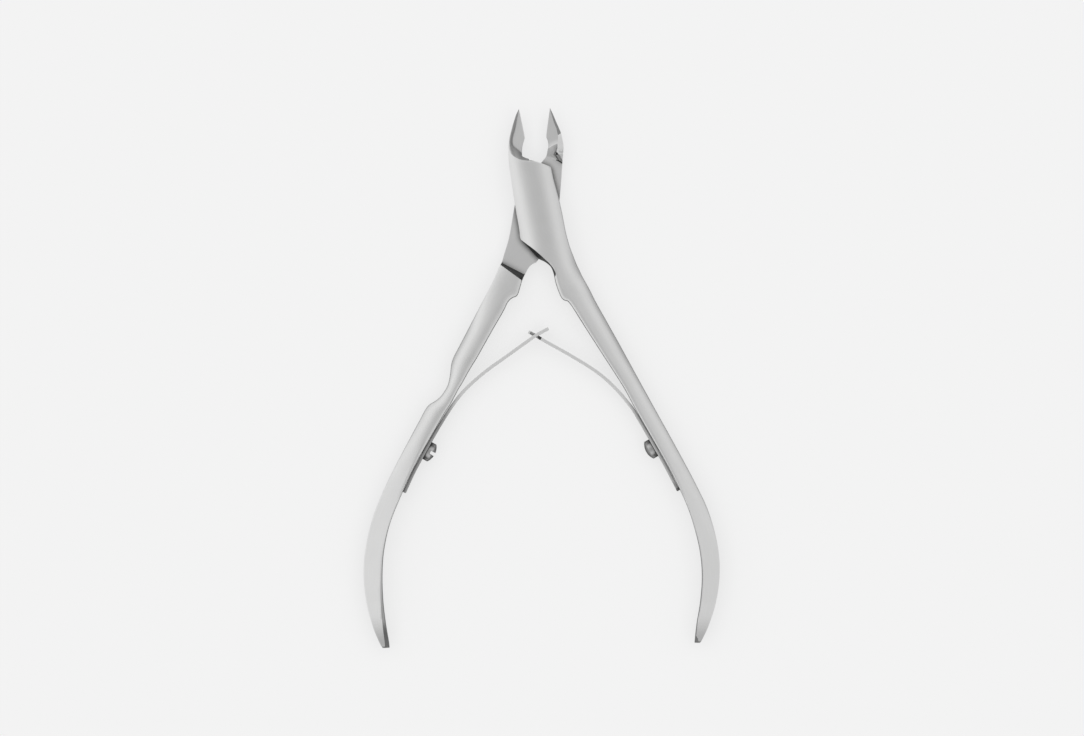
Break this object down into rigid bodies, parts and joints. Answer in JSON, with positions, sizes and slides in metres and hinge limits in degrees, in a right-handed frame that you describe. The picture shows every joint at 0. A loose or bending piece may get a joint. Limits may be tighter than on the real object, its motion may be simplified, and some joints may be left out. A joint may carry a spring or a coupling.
{
  "type": "cuticle nipper",
  "caption": "Lap-joint cuticle nipper in satin stainless steel, with pointed jaws, bowed handles and crossed leaf springs that hold it open.",
  "frame": {"origin": "where the pivot axis meets the flat back that the tool rests on", "axes": "+Y towards the jaw tips, +Z from the back to the front along the pivot axis, +X to the right seen from the front"},
  "size_m": [0.0711, 0.108, 0.0074],
  "materials": {
    "forged_steel": "satin, fine grain along the handles",
    "rivet_steel": "ground flush",
    "spring_steel": "polished strip",
    "screw_steel": "turned"
  },
  "bodies": {
    "front_assembly": {"front_half": "forged_steel", "pivot_rivet": "rivet_steel", "right_spring_screw": "screw_steel"},
    "rear_assembly": {"rear_half": "forged_steel", "left_spring_screw": "screw_steel"},
    "left_spring": {"left_leaf_spring": "spring_steel"},
    "right_spring": {"right_leaf_spring": "spring_steel"}
  },
  "joints": [
    {"name": "main_pivot", "type": "hinge", "parent": "front_assembly", "child": "rear_assembly", "pos_m": [0, 0, 0.0036], "axis": [0, 0, 1], "range_deg": [0, 18.3], "stiffness_Nm_per_rad": 0.8, "springref_deg": -5.73},
    {"name": "left_spring_flex", "type": "hinge", "parent": "rear_assembly", "child": "left_spring", "pos_m": [-0.019, -0.0433, 0.0036], "axis": [0, 0, 1], "range_deg": [0, 12.8], "deforming": ["left_leaf_spring"]},
    {"name": "right_spring_flex", "type": "hinge", "parent": "front_assembly", "child": "right_spring", "pos_m": [0.0206, -0.0436, 0.0036], "axis": [0, 0, 1], "range_deg": [-10.8, 0], "deforming": ["right_leaf_spring"]}
  ],
  "couplings": [
    {"joint": "left_spring_flex", "follows": "main_pivot", "ratio": 0.69},
    {"joint": "right_spring_flex", "follows": "main_pivot", "ratio": -0.58}
  ]
}
